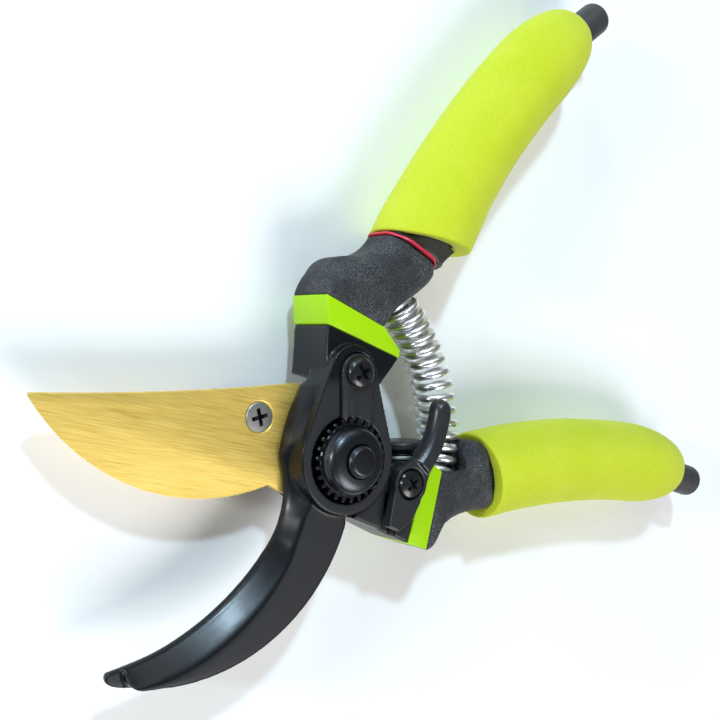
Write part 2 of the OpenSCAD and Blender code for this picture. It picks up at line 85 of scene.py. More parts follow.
class Finish:
    # one material; add() makes every node of it

    def __init__(self, name):
        self.material = bpy.data.materials.new(name)
        self.material.use_nodes = True
        self.tree = self.material.node_tree
        self.tree.nodes.clear()

    def add(self, kind, settings=None, sockets=None):
        node = self.tree.nodes.new(kind)
        for key, value in (settings or {}).items():
            setattr(node, key, value)
        for key, value in (sockets or {}).items():
            if isinstance(value, Number):
                value = value.socket
            if isinstance(value, bpy.types.NodeSocket):
                self.tree.links.new(value, node.inputs[key])
            else:
                node.inputs[key].default_value = value
        return [Number(self, s) if s.type == "VALUE" else s for s in node.outputs]

    def place(self):
        return self.add("ShaderNodeTexCoord")[3]  # Object

    def stretched(self, scale, turn=0.0):
        # object coordinates turned about Z, then scaled
        turned = self.add("ShaderNodeMapping", {}, {"Vector": self.place(), "Rotation": (0, 0, math.radians(turn))})
        return self.add("ShaderNodeMapping", {}, {"Vector": turned[0], "Scale": scale})[0]

    def grain(self, size, detail=3.0, rough=0.55, where=None):
        # noise whose lumps are about size metres across
        sockets = {"Vector": where or self.place(), "Scale": 1 / size, "Detail": detail, "Roughness": rough}
        return self.add("ShaderNodeTexNoise", {}, sockets)[0]

    def cells(self, size):
        sockets = {"Vector": self.place(), "Scale": 1 / size}
        return self.add("ShaderNodeTexVoronoi", {"feature": "F1"}, sockets)[0]

    def mix(self, factor, first, second):
        # in colour mode the inputs are 0 (factor), 6 and 7, and the colour comes out of 2
        first, second = [(*c, 1) if isinstance(c, tuple) else c for c in (first, second)]
        return self.add("ShaderNodeMix", {"data_type": "RGBA"}, {0: factor, 6: first, 7: second})[2]

    def bump(self, height, strength, depth):
        return self.add("ShaderNodeBump", {}, {"Height": height, "Strength": strength, "Distance": depth})[0]

    def shader(self, colour, **sockets):
        named = {"Base Color": colour}
        named.update({key.replace("_", " "): value for key, value in sockets.items()})
        return self.add("ShaderNodeBsdfPrincipled", {}, named)[0]

    def done(self, surface):
        self.add("ShaderNodeOutputMaterial", {}, {"Surface": surface})
        return self.material


castLook = {"flat": (0.016, 0.0165, 0.0185), "gloss": (0.003, 0.004, 0.006), "flatRough": 0.45, "glossRough": 0.27,
            "bodyFrom": 15.5 * mm, "bodyTo": 19 * mm}


def castBlack():
    f = Finish("castBlack")
    look = castLook
    peel = f.grain(1.1 * mm, 2)
    dust = f.grain(0.25 * mm, 4)
    place = f.add("ShaderNodeSeparateXYZ", {}, {"Vector": f.place()})
    facing = f.add("ShaderNodeSeparateXYZ", {}, {"Vector": f.add("ShaderNodeNewGeometry")[1]})[2]
    # the flats of the jaw, ring and hub are satin, the handle castings are gloss enamel
    body = place[1].ramp(look["bodyFrom"], look["bodyTo"])
    satin = facing.ramp(0.93, 0.985) * (1 - body)
    smooth = f.shader((*look["gloss"], 1), Roughness=look["glossRough"] + 0.08 * peel, Coat_Weight=0.07,
                      Coat_Roughness=0.14, Specular_IOR_Level=0.32, Normal=f.bump(peel, 0.1, 0.1 * mm))
    colour = f.mix(dust, look["flat"], tuple(1.25 * c for c in look["flat"]))
    flatPart = f.shader(colour, Roughness=look["flatRough"] + 0.12 * dust, Specular_IOR_Level=0.35,
                        Normal=f.bump(dust, 0.12, 0.1 * mm))
    return f.done(f.add("ShaderNodeMixShader", {}, {"Fac": satin, 1: smooth, 2: flatPart})[0])


def satinBlack(name, colour, roughness):
    f = Finish(name)
    dust = f.grain(0.3 * mm, 4)
    wear = f.grain(4 * mm, 3).ramp(0.5, 0.75)
    base = f.mix(wear * 0.5, colour, tuple(1.5 * c for c in colour))
    return f.done(f.shader(base, Roughness=roughness + 0.12 * dust, Normal=f.bump(dust, 0.15, 0.1 * mm)))


limeLook = {"dark": (0.37, 0.68, 0.002), "light": (0.41, 0.73, 0.003), "rough": 0.3, "peel": 1.2 * mm}


def limePaint():
    f = Finish("limePaint")
    peel = f.grain(limeLook["peel"], 2)
    tone = f.mix(f.grain(6 * mm, 2), limeLook["dark"], limeLook["light"])
    return f.done(f.shader(tone, Roughness=limeLook["rough"] + 0.1 * peel, Coat_Weight=0.06, Coat_Roughness=0.12,
                           Specular_IOR_Level=0.25, Normal=f.bump(peel, 0.08, 0.1 * mm)))


rubberLook = {"ground": (0.006, 0.007, 0.009), "speckDark": (0.055, 0.057, 0.063), "speckLight": (0.13, 0.135, 0.145),
              "speck": 0.32 * mm, "pit": 0.42 * mm, "rough": 0.6}


def speckledRubber():
    f = Finish("speckledRubber")
    look = rubberLook
    pits = f.cells(look["pit"])
    specks = f.grain(look["speck"], 3, 0.75).ramp(0.42, 0.66)
    cloud = f.grain(7 * mm, 2).ramp(0.35, 0.65)
    base = f.mix(specks, look["ground"], f.mix(cloud, look["speckDark"], look["speckLight"]))
    height = pits * 0.7 + f.grain(0.5 * mm, 3)
    return f.done(f.shader(base, Roughness=look["rough"] + 0.2 * specks, Normal=f.bump(height, 0.5, 0.16 * mm)))


redLook = {"dark": (0.62, 0.02, 0.05), "light": (0.75, 0.04, 0.08), "rough": 0.4}


def redLine():
    f = Finish("redLine")
    tone = f.mix(f.grain(1 * mm, 2), redLook["dark"], redLook["light"])
    return f.done(f.shader(tone, Roughness=redLook["rough"] + 0.1 * f.grain(0.8 * mm, 2)))


coreLook = {"dark": (0.03, 0.03, 0.032), "light": (0.055, 0.055, 0.056), "rough": 0.42}


def coreBlack():
    f = Finish("coreBlack")
    grain = f.grain(0.4 * mm, 4)
    tone = f.mix(f.grain(3 * mm, 2), coreLook["dark"], coreLook["light"])
    return f.done(f.shader(tone, Roughness=coreLook["rough"] + 0.15 * grain, Normal=f.bump(grain, 0.2, 0.1 * mm)))


foamLook = {"dark": (0.545, 0.635, 0.011), "light": (0.635, 0.70, 0.045), "rough": 0.76, "pore": 0.3 * mm,
            "mottle": 0.55 * mm, "cloud": 14 * mm}


def limeFoam():
    f = Finish("limeFoam")
    look = foamLook
    pores = f.cells(look["pore"])
    mottle = f.grain(look["mottle"], 4, 0.7)
    cloud = f.grain(look["cloud"], 2)
    shade = mottle.ramp(0.36, 0.68) * 0.6 + cloud.ramp(0.3, 0.7) * 0.4
    base = f.mix(shade, look["dark"], look["light"])
    height = pores * 0.5 + mottle * 0.8
    return f.done(f.shader(base, Roughness=look["rough"] + 0.14 * pores, Sheen_Weight=0.1, Sheen_Roughness=0.5,
                           Specular_IOR_Level=0.25, Normal=f.bump(height, 0.35, 0.16 * mm)))


goldLook = {"dark": (0.70, 0.47, 0.09), "light": (0.93, 0.67, 0.18), "band": (0.90, 0.64, 0.155), "grind": 12,
            "rough": 0.34, "metallic": 0.5}


def goldBrushed():
    f = Finish("goldBrushed")
    look = goldLook
    # grinding lines run along the blade; the scales are lumps per metre along, across and through it
    lines = f.grain(1, 4, 0.65, f.stretched((110, 3600, 900), look["grind"]))
    bands = f.grain(1, 2, 0.5, f.stretched((40, 900, 60), look["grind"]))
    cloud = f.grain(16 * mm, 2)
    tone = f.mix(lines.ramp(0.36, 0.66), look["dark"], look["light"])
    tone = f.mix((bands * 0.6 + cloud * 0.4).ramp(0.4, 0.65) * 0.6, tone, look["band"])
    return f.done(f.shader(tone, Metallic=look["metallic"], Roughness=look["rough"] + 0.14 * lines,
                           Specular_IOR_Level=0.4, Normal=f.bump(lines, 0.14, 0.05 * mm)))


def metal(name, colour, roughness, scratch=0.1):
    f = Finish(name)
    fine = f.grain(0.6 * mm, 4, 0.6)
    scuff = f.grain(1, 3, 0.6, f.stretched((500, 3000, 500), 35))
    tone = f.mix(fine, tuple(0.86 * c for c in colour), colour)
    return f.done(f.shader(tone, Metallic=1.0, Roughness=roughness + scratch * scuff,
                           Normal=f.bump(scuff, 0.08, 0.05 * mm)))


oxideLook = {"dark": (0.004, 0.005, 0.007), "worn": (0.014, 0.015, 0.018), "rough": 0.22}


def blackOxide():
    f = Finish("blackOxide")
    fine = f.grain(0.5 * mm, 4, 0.6)
    wear = f.grain(2.5 * mm, 3).ramp(0.52, 0.72)
    tone = f.mix(wear, oxideLook["dark"], oxideLook["worn"])
    return f.done(f.shader(tone, Roughness=oxideLook["rough"] + 0.14 * fine, Coat_Weight=0.3, Coat_Roughness=0.12,
                           Normal=f.bump(fine, 0.1, 0.1 * mm)))


finishes = {
    "gloss_black": castBlack(),
    "latch_black": satinBlack("latchBlack", (0.02, 0.021, 0.024), 0.26),
    "lime_band": limePaint(),
    "black_rubber": speckledRubber(),
    "red_line": redLine(),
    "core_black": coreBlack(),
    "lime_foam": limeFoam(),
    "black_steel": blackOxide(),
    "nut_steel": metal("darkNutSteel", (0.06, 0.064, 0.073), 0.27, 0.1),
    "bright_steel": metal("zincSteel", (0.5, 0.505, 0.49), 0.34, 0.16),
    "bronze": metal("bearingBronze", (0.62, 0.42, 0.2), 0.35),
    "spring_chrome": metal("springWire", (0.95, 0.955, 0.96), 0.27, 0.06),
    "gold_blade": goldBrushed(),
    # this near-black finish is painted shade for the screws' driver recesses, not the screws' own colour
    "recess": satinBlack("paintedRecessShade", (0.004, 0.004, 0.005), 0.5),
    "bumper_rubber": satinBlack("bumperRubber", (0.028, 0.029, 0.032), 0.28),
}
print("finishes made:", len(finishes))


def clamp(value):
    return max(0.0, min(1.0, value))


def polar(length, degrees):
    return Vector((length * math.cos(math.radians(degrees)), length * math.sin(math.radians(degrees)), 0))


def flat(x, y):
    return Vector((x * mm, y * mm, 0))


def inMetres(profile):
    return [(r * mm, h * mm) for r, h in profile]


def boxCentre(node):
    # to the nearest 0.01 mm, because a faceted circle's box is a little lopsided
    low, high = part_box(node)
    return round((low[0] + high[0]) / 2, 5), round((low[1] + high[1]) / 2, 5)


def looseObject(name, data):
    made = bpy.data.objects.new(name, data)
    bpy.context.scene.collection.objects.link(made)
    return made


def newPiece(name, mesh, body, slot, node, finish=None):
    piece = looseObject(name, mesh)
    mesh.materials.clear()
    mesh.materials.append(finishes[finish or slot])
    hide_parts(node)
    if body:
        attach(piece, body)
    return piece


def roundShade(mesh):
    for face in mesh.polygons:
        face.use_smooth = True


def smoothShade(mesh, angle):
    # smooth, but edges over this angle stay sharp
    roundShade(mesh)
    mesh.set_sharp_from_angle(angle=math.radians(angle))


def meshOf(bm, name):
    bmesh.ops.recalc_face_normals(bm, faces=bm.faces)
    mesh = bpy.data.meshes.new(name)
    bm.to_mesh(mesh)
    bm.free()
    return mesh


def nodeBmesh(node):
    # a copy of a CAD node's mesh, its double vertices joined
    bm = bmesh.new()
    bm.from_mesh(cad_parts[node].data)
    bmesh.ops.remove_doubles(bm, verts=bm.verts, dist=0.001 * mm)
    return bm


def baked(piece):
    # replaces a piece's mesh by what its modifiers make of it
    bpy.context.view_layer.update()
    made = bpy.data.meshes.new_from_object(piece.evaluated_get(bpy.context.evaluated_depsgraph_get()))
    piece.modifiers.clear()
    piece.data = made


edgeLook = {"segments": 3, "fromAngle": 28, "flatWithin": 0.4, "sharpBefore": 30, "sharpAfter": 40}


def machined(name, node, body, slot, width, finish=None):
    # a CAD shape with its flat faces merged and its sharp edges broken
    bm = nodeBmesh(node)
    flatWithin = math.radians(edgeLook["flatWithin"])
    bmesh.ops.dissolve_limit(bm, angle_limit=flatWithin, verts=bm.verts, edges=bm.edges)
    piece = newPiece(name, meshOf(bm, name), body, slot, node, finish)
    smoothShade(piece.data, edgeLook["sharpBefore"])
    edge = piece.modifiers.new("softEdge", "BEVEL")
    edge.limit_method, edge.angle_limit = "ANGLE", math.radians(edgeLook["fromAngle"])
    edge.width, edge.segments = width, edgeLook["segments"]
    edge.use_clamp_overlap = False
    baked(piece)
    smoothShade(piece.data, edgeLook["sharpAfter"])


def cast(name, node, body, slot, look, shape=None, soft=None, finish=None):
    # a CAD shape rounded as a casting is: remeshed evenly, shaped and smoothed,
    # with more smoothing where soft() says so
    piece = newPiece(name, meshOf(nodeBmesh(node), name), body, slot, node, finish)
    even = piece.modifiers.new("even", "REMESH")
    even.mode, even.voxel_size = "VOXEL", look["voxel"]
    baked(piece)
    if shape:
        for v in piece.data.vertices:
            v.co = shape(v.co)
    worn = piece.modifiers.new("worn", "SMOOTH")
    worn.factor, worn.iterations = 0.5, look["passes"]
    if soft:
        group = piece.vertex_groups.new(name="soft")
        for v in piece.data.vertices:
            group.add([v.index], soft(v.co), "REPLACE")
        rounded = piece.modifiers.new("rounded", "SMOOTH")
        rounded.factor, rounded.iterations, rounded.vertex_group = 0.5, look["softPasses"], "soft"
    baked(piece)
    roundShade(piece.data)


def joinRings(bm, a, b):
    # a ring of one vertex closes the other as a fan
    count = max(len(a), len(b))
    for i in range(count):
        j = (i + 1) % count
        if len(a) == 1:
            bm.faces.new((a[0], b[j], b[i]))
        elif len(b) == 1:
            bm.faces.new((a[i], a[j], b[0]))
        else:
            bm.faces.new((a[i], a[j], b[j], b[i]))


def lathe(bm, profile, origin, axis=Vector((0, 0, 1)), steps=64):
    # profile: (radius, height) pairs along axis from origin
    turn = Vector((0, 0, 1)).rotation_difference(axis).to_matrix()
    rings = []
    for radius, height in profile:
        ring = []
        for i in range(steps if radius else 1):
            spot = polar(radius, 360 * i / steps)
            spot.z = height
            ring.append(bm.verts.new(Vector(origin) + turn @ spot))
        rings.append(ring)
    for a, b in zip(rings, rings[1:]):
        joinRings(bm, a, b)
    return rings


def arcProfile(centre, radius, start, stop, count):
    # (radius, height) points on a circle in the profile plane
    spots = []
    for i in range(count + 1):
        a = math.radians(start + (stop - start) * i / count)
        spots.append((centre[0] + radius * math.cos(a), centre[1] + radius * math.sin(a)))
    return spots


# the view looks down at the tool from "tilt" degrees off vertical; side and drop slide the frame
view = {"tilt": 36.5, "turn": 168, "distance": 0.24, "height": 20.5 * mm, "lens": 54.6, "sensor": 36,
        "near": 0.01, "side": -11 / 1092, "drop": -100 / 1092}


def makeCamera():
    t, a = math.radians(view["tilt"]), math.radians(view["turn"])
    back = Vector((math.sin(t) * math.cos(a), math.sin(t) * math.sin(a), math.cos(t)))
    right = Vector((0, 1, 0)).cross(back).normalized()
    base = Matrix((right, back.cross(right), back)).transposed()
    lean = Vector((0, 0, -1)).rotation_difference(Vector((view["side"], view["drop"], -1)))
    data = bpy.data.cameras.new("camera")
    data.lens, data.sensor_width = view["lens"], view["sensor"]
    data.clip_start = view["near"]
    camera = looseObject("camera", data)
    turned = base @ lean.to_matrix().transposed()
    stand = Vector((0, 0, view["height"])) + back * view["distance"]
    camera.matrix_world = Matrix.Translation(stand) @ turned.to_4x4()
    bpy.context.scene.camera = camera


makeCamera()

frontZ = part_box("lower_casting")[1][2]
midZ = (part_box("lower_casting")[0][2] + frontZ) / 2
hook = {"voxel": 0.34 * mm, "passes": 4, "softPasses": 44,
        "ring": 12.2 * mm, "boss": (1.5 * mm, 19.2 * mm), "bossRadius": 6.1 * mm, "tipX": -49 * mm,
        # the jaw's inner edge is an arc, and its bevel is widest at the middle
        "arc": (-60.7 * mm, 17 * mm), "arcRadius": 56 * mm, "arcFrom": -81, "arcTo": -38,
        "bevel": 3.3 * mm, "belly": 2.4 * mm, "bevelFoot": 14.4 * mm,
        # the wall beside the ring leans in towards the top, as a rounded shoulder
        "lean": 2.2 * mm, "leanFoot": 12.8 * mm}
lowerCast = {"voxel": 0.3 * mm, "passes": 8}
latchCast = {"voxel": 0.2 * mm, "passes": 7, "softPasses": 40, "softFrom": 1 * mm, "softOver": 3 * mm}


def ringGap(p):
    # how far outside the ring and the lock plate's boss
    gaps = []
    for i in range(13):
        t = i / 12
        r = hook["ring"] + (hook["bossRadius"] - hook["ring"]) * t
        gaps.append(math.hypot(p.x - hook["boss"][0] * t, p.y - hook["boss"][1] * t) - r)
    return min(gaps)


def softHook(p):
    # crisp at the ring and the boss, soft over the jaw and throat, a little less on the body
    gap = ringGap(p)
    tip = clamp((p.x - hook["tipX"]) / (6 * mm))
    above = clamp((frontZ - 0.3 * mm - p.z) / (1 * mm))
    body = 1 - 0.75 * clamp((p.y - 14 * mm) / (4 * mm))
    return clamp(max(gap / (1.2 * mm), above * clamp(gap / (0.5 * mm)))) * (0.15 + 0.85 * tip) * body


def hollowJaw(p):
    x, y = p.x - hook["arc"][0], p.y - hook["arc"][1]
    along = (math.degrees(math.atan2(y, x)) - hook["arcFrom"]) / (hook["arcTo"] - hook["arcFrom"])
    if not 0 < along < 1.05:
        return roundShoulder(p)
    width = hook["bevel"] + hook["belly"] * math.sin(math.pi * clamp(along / 1.05)) ** 0.7
    rise = (math.hypot(x, y) - hook["arcRadius"]) / width
    if rise <= 0.1:
        return p
    return Vector((p.x, p.y, min(p.z, hook["bevelFoot"] + (frontZ - hook["bevelFoot"]) * rise)))


def roundShoulder(p):
    if p.x > -2 * mm or p.z > frontZ + 0.2 * mm:
        return p
    gap = ringGap(p)
    if gap < 0.05 * mm:
        return p
    ends = clamp((p.y + 12 * mm) / (5 * mm)) * clamp((19 * mm - p.y) / (3 * mm))
    rise = clamp((p.z - hook["leanFoot"]) / (frontZ - hook["leanFoot"]))
    return Vector((p.x + min(hook["lean"] * rise ** 2 * ends, gap), p.y, p.z))


def softLatch(p):
    return clamp((p.y - latchCast["softFrom"]) / latchCast["softOver"])


cast("hookBody", "hook_casting", "hook_side", "gloss_black", hook, hollowJaw, softHook)
cast("lowerBody", "lower_casting", "blade_side", "gloss_black", lowerCast)
cast("thumbLatch", "thumb_latch", "latch", "gloss_black", latchCast, soft=softLatch, finish="latch_black")
print("castings made")

# reach: how far in from the outline a neck is rounded; least: share of the thickness left at the outline
upperNeck = {"voxel": 0.36 * mm, "passes": 8, "reach": 5 * mm, "least": 0.45}
lowerNeck = {"voxel": 0.36 * mm, "passes": 8, "reach": 4 * mm, "least": 0.55}
neckFade = 5 * mm  # the rounding grows over this length from the band
upperCore = {"voxel": 0.4 * mm, "passes": 14}
bandEdge = 0.3 * mm


def rimShare(inside, reach, least):
    # share of the full thickness left this far inside the outline
    t = clamp(inside / reach)
    return math.sqrt(max(0.0, 1 - (1 - t) ** 2 * (1 - least ** 2)))


def roundNeck(look, outline, bandLine):
    # thins a neck towards its outline, but not where it meets its band
    def move(p):
        inside = min(distanceTo(p, a, b) for a, b in outline)
        fade = clamp(lineDistance(p, *bandLine) / neckFade)
        share = rimShare(inside, max(0.3 * mm, look["reach"] * fade), 1 - (1 - look["least"]) * fade)
        return Vector((p.x, p.y, midZ + (p.z - midZ) * share))
    return move


def distanceTo(p, a, b):
    ab = b - a
    t = clamp(((p.x - a.x) * ab.x + (p.y - a.y) * ab.y) / (ab.x ** 2 + ab.y ** 2))
    return math.hypot(p.x - a.x - t * ab.x, p.y - a.y - t * ab.y)


def lineDistance(p, a, b):
    ab = b - a
    return abs((p.x - a.x) * ab.y - (p.y - a.y) * ab.x) / math.hypot(ab.x, ab.y)


def curve3(a, b, c, count):
    spots = []
    for i in range(count + 1):
        t = i / count
        spots.append(a * (1 - t) ** 2 + b * 2 * t * (1 - t) + c * t * t)
    return spots


def pairs(spots):
    return list(zip(spots, spots[1:]))


# the necks' outlines seen along the pivot, and the lines where they meet their bands
upperRim = pairs(curve3(flat(-4.3, 36.3), flat(-3.5, 44.8), flat(4, 45.1), 6)
                 + curve3(flat(7, 45.3), flat(11.5, 46), flat(14.6, 50.4), 5))
upperRim += pairs(curve3(flat(28.6, 42.6), flat(29.2, 40.4), flat(25.6, 38.1), 4)
                  + [flat(18.1, 33.1), flat(11.4, 29.1)])
lowerRim = pairs(curve3(flat(24.6, -23.4), flat(27.4, -23.6), flat(28.8, -21.4), 3)
                 + curve3(flat(31.4, -18.6), flat(35.6, -15.4), flat(45.7, -16), 4))
lowerRim += pairs([flat(43.5, 0.8), flat(39.4, 1.6), flat(37.3, -1.5)])
upperJoin = (flat(-4.3, 36.3), flat(11.4, 29.1))
lowerJoin = (flat(28.7, -5), flat(23.9, -23))

cast("upperNeck", "upper_neck", "hook_side", "black_rubber", upperNeck, roundNeck(upperNeck, upperRim, upperJoin))
cast("lowerNeck", "lower_neck", "blade_side", "black_rubber", lowerNeck, roundNeck(lowerNeck, lowerRim, lowerJoin))
machined("upperBand", "upper_band", "hook_side", "lime_band", bandEdge)
machined("lowerBand", "lower_band", "blade_side", "lime_band", bandEdge)
cast("upperCore", "upper_core", "hook_side", "core_black", upperCore)
machined("lowerCore", "lower_core", "blade_side", "core_black", 0.3 * mm)


stripe = {"from": flat(14.6, 50.4), "to": flat(28.6, 42.6), "width": 0.75 * mm, "proud": 0.16 * mm,
          "sink": 0.9 * mm, "start": 0.1 * mm, "halfThick": 6.95 * mm, "steps": 32}


def makeStripe():
    # a thin moulded line round the neck's end
    a, b = stripe["from"], stripe["to"]
    ahead = (b - a).normalized()
    across = Vector((-ahead.y, ahead.x, 0))
    length = (b - a).length
    loop = []
    for side in (1, -1):
        for i in range(stripe["steps"] + 1):
            u = 0.5 - 0.5 * math.cos(math.pi * i / stripe["steps"])
            u = u if side > 0 else 1 - u
            share = rimShare(min(u, 1 - u) * length, upperNeck["reach"], upperNeck["least"])
            loop.append((u, side * share))
    bm = bmesh.new()
    rings = []
    # the line's own section: along its width, and how proud of the neck it stands
    for along, out in ((0.15, -1), (0.15, 0.6), (0.3, 1), (0.7, 1), (0.85, 0.6), (0.85, -1)):
        grow = stripe["proud"] * out if out > 0 else -stripe["sink"]
        ring = []
        for u, share in loop:
            x = (u - 0.5) * (length + 2 * grow) + length / 2
            z = share * stripe["halfThick"] + math.copysign(grow, share)
            spot = a + ahead * x + across * (along * stripe["width"] + stripe["start"])
            ring.append(bm.verts.new((spot.x, spot.y, midZ + z)))
        rings.append(ring)
    for r1, r2 in zip(rings, rings[1:] + rings[:1]):
        joinRings(bm, r1, r2)
    piece = newPiece("upperStripe", meshOf(bm, "upperStripe"), "hook_side", "red_line", "upper_pinstripe")
    smoothShade(piece.data, 50)


makeStripe()
print("necks and bands made")

grips = {
    "upper": {"base": flat(27.2, 48.8), "dir": 59.5, "slant": 18, "body": "hook_side",
              "wide": 0.7 * mm, "short": 0.6 * mm},
    "lower": {"base": flat(44.7, -8.1), "dir": 7.5, "slant": 0, "body": "blade_side",
              "wide": -0.3 * mm, "short": 2.6 * mm},
}
foam = {"radius": 11.3 * mm, "bend": 200 * mm, "length": 79.5 * mm, "round": 15 * mm, "dome": 19 * mm,
        "lip": 4.9 * mm, "bore": 6.2 * mm, "oval": 0.7 * mm, "steps": 64, "rim": 0.7 * mm,
        "lump": 0.16 * mm, "dent": 0.07 * mm, "floor": 0.15 * mm, "fill": 0.9}


def gripSpot(grip, along):
    # point and direction on a handle's bent centre line
    turn = math.degrees(along / foam["bend"])
    centre = grip["base"] + polar(foam["bend"], grip["dir"] - 90)
    spot = centre + polar(foam["bend"], grip["dir"] + 90 - turn)
    spot.z = midZ
    return spot, grip["dir"] - turn


def foamRadius(grip, along):
    # a little wider at the base, slimmer further on, rounded off at the end
    left = foam["length"] - grip["short"] - along
    r = foam["radius"] + grip["wide"] * math.exp(-(along / (14 * mm)) ** 2) - 0.5 * mm * (along / foam["length"])
    t = clamp(1 - left / foam["dome"])
    return foam["lip"] + (r - foam["lip"]) * math.sqrt(max(0.0, 1 - t ** 2))


def sleeveStations(grip):
    # (along, kind): from inside the bore, round the base rim, along the outside, round the end and back in;
    # on the outside the kind is a number, how far the skin is drawn in from the full radius
    rim, far = foam["rim"], foam["length"] - grip["short"]
    stations = [(6 * mm, "bore"), (1.5 * mm, "bore"), (0.3 * mm, "mouth")]
    for a in (10, 30, 50, 70, 90):
        stations.append((rim * (1 - math.cos(math.radians(a))), rim * (1 - math.sin(math.radians(a)))))
    stations += [(along * mm, 0) for along in (3, 5, 8, 12, 17, 23, 30, 37, 44, 50, 55, 59)]
    stations += [(far - left * mm, 0) for left in (18, 16, 14, 12, 10, 8, 6.3, 4.8, 3.5, 2.4, 1.5, 0.8, 0.3, 0)]
    return stations + [(far - 0.3 * mm, "lipIn"), (far - 4 * mm, "lipIn")]


def sleeveRadius(grip, along, kind, a):
    bore = foam["bore"] + foam["oval"] * abs(math.cos(a))
    if kind == "bore":
        return bore
    if kind == "mouth":
        return bore + 0.9 * mm
    if kind == "lipIn":
        return foam["lip"] - 0.45 * mm
    return foamRadius(grip, along) - kind


def makeSleeve(key):
    grip = grips[key]
    bm = bmesh.new()
    rings = []
    for along, kind in sleeveStations(grip):
        spot, heading = gripSpot(grip, along)
        side, ahead = polar(1, heading - 90), polar(1, heading)
        ring = []
        for i in range(foam["steps"]):
            a = 2 * math.pi * i / foam["steps"]
            r = sleeveRadius(grip, along, kind, a)
            # the base is cut on a slant that dies out along the sleeve
            slant = math.tan(math.radians(grip["slant"])) * r * math.cos(a) * max(0, 1 - along / (16 * mm))
            out = side * math.cos(a) + Vector((0, 0, math.sin(a)))
            p = spot + out * r + ahead * slant
            if kind != "bore":
                p += out * foam["lump"] * noise.noise(p * 160) + out * foam["dent"] * noise.noise(p * 520)
            p.z = max(p.z, foam["floor"])  # the foam gives where it lies on the floor
            ring.append(bm.verts.new(p))
        rings.append(ring)
    for a, b in zip(rings, rings[1:]):
        joinRings(bm, a, b)
    name = key + "Sleeve"
    sleeve = newPiece(name, meshOf(bm, name), grip["body"], "lime_foam", key + "_sleeve")
    fine = sleeve.modifiers.new("fine", "SUBSURF")
    fine.levels = fine.render_levels = 2
    baked(sleeve)
    roundShade(sleeve.data)


tipLook = {"radius": 4.4 * mm, "length": 11.5 * mm, "lean": 6, "root": 6 * mm, "edge": 1.9 * mm, "steps": 48}


def makeTip(key):
    grip = grips[key]
    spot, heading = gripSpot(grip, foam["length"] - foam["round"])
    ahead = polar(1, heading - tipLook["lean"])
    r, edge, run = tipLook["radius"], tipLook["edge"], foam["round"] + tipLook["length"] - grip["short"]
    profile = [(0, tipLook["root"]), (r * 0.94, tipLook["root"]), (r * 0.94, foam["round"] - 3 * mm),
               (r, foam["round"]), (r, run - 3.2 * mm)]
    profile += arcProfile((r - edge, run - edge), edge, 0, 80, 7)
    profile += [(r * 0.3, run - 0.02 * mm), (0, run)]
    bm = bmesh.new()
    lathe(bm, profile, spot, ahead, tipLook["steps"])
    name = key + "Tip"
    tip = newPiece(name, meshOf(bm, name), grip["body"], "core_black", key + "_tip")
    smoothShade(tip.data, 40)


for gripKey in grips:
    makeSleeve(gripKey)
    makeTip(gripKey)
print("sleeves and tips made")

nut = {"teeth": 26, "outer": 9.3 * mm, "depth": 1.1 * mm, "thick": 3 * mm, "hole": 3.62 * mm,
       "cap": 3.4 * mm, "capStep": 0.45 * mm, "collar": 1.15 * mm, "crown": 2.2 * mm, "crownIn": 4.4 * mm}


def makeNut():
    bm = bmesh.new()
    root, crest = nut["outer"] - nut["depth"], nut["outer"] - 0.1 * mm
    ring = []
    for i in range(nut["teeth"]):
        for step, r in ((-0.46, root), (-0.30, root), (-0.16, crest), (0, nut["outer"]), (0.16, crest), (0.30, root)):
            ring.append(polar(r, (i + 0.5 + step) * 360 / nut["teeth"]))
    top = frontZ + nut["thick"]
    rings = []
    for z, scale in ((frontZ, 1.0), (top - 0.25 * mm, 1.0), (top, 0.975)):
        rings.append([bm.verts.new((p.x * scale, p.y * scale, z)) for p in ring])
    for a, b in zip(rings, rings[1:]):
        joinRings(bm, a, b)
    # crowned cap: up from the toothed flange and over a dome to the bolt
    base, collar = root - nut["capStep"], top + nut["collar"]
    profile = [(base, top), (base - 0.1 * mm, top + 0.9 * mm), (base - 0.3 * mm, collar)]
    for i in range(1, 10):
        a = math.radians(9 * i)
        profile.append((base - 0.3 * mm - (base - nut["crownIn"]) * (1 - math.cos(a)),
                        collar + nut["crown"] * math.sin(a)))
    profile += [(nut["hole"] + 0.3 * mm, top + nut["cap"]), (nut["hole"], top + nut["cap"] - 0.3 * mm),
                (nut["hole"], frontZ + 0.2 * mm)]
    made = lathe(bm, profile, (0, 0, 0), steps=len(ring))
    joinRings(bm, rings[-1], made[0])
    joinRings(bm, made[-1], rings[0])
    piece = newPiece("pivotNut", meshOf(bm, "pivotNut"), "hook_side", "gloss_black", "adjusting_nut", "nut_steel")
    smoothShade(piece.data, 38)


makeNut()
machined("lockPlate", "nut_lock_plate", "hook_side", "gloss_black", 0.22 * mm, "latch_black")
machined("pivotBolt", "pivot_bolt", "hook_side", "black_steel", 0.3 * mm, "nut_steel")
machined("pivotBush", "pivot_bush", "hook_side", "bronze", 0.2 * mm)

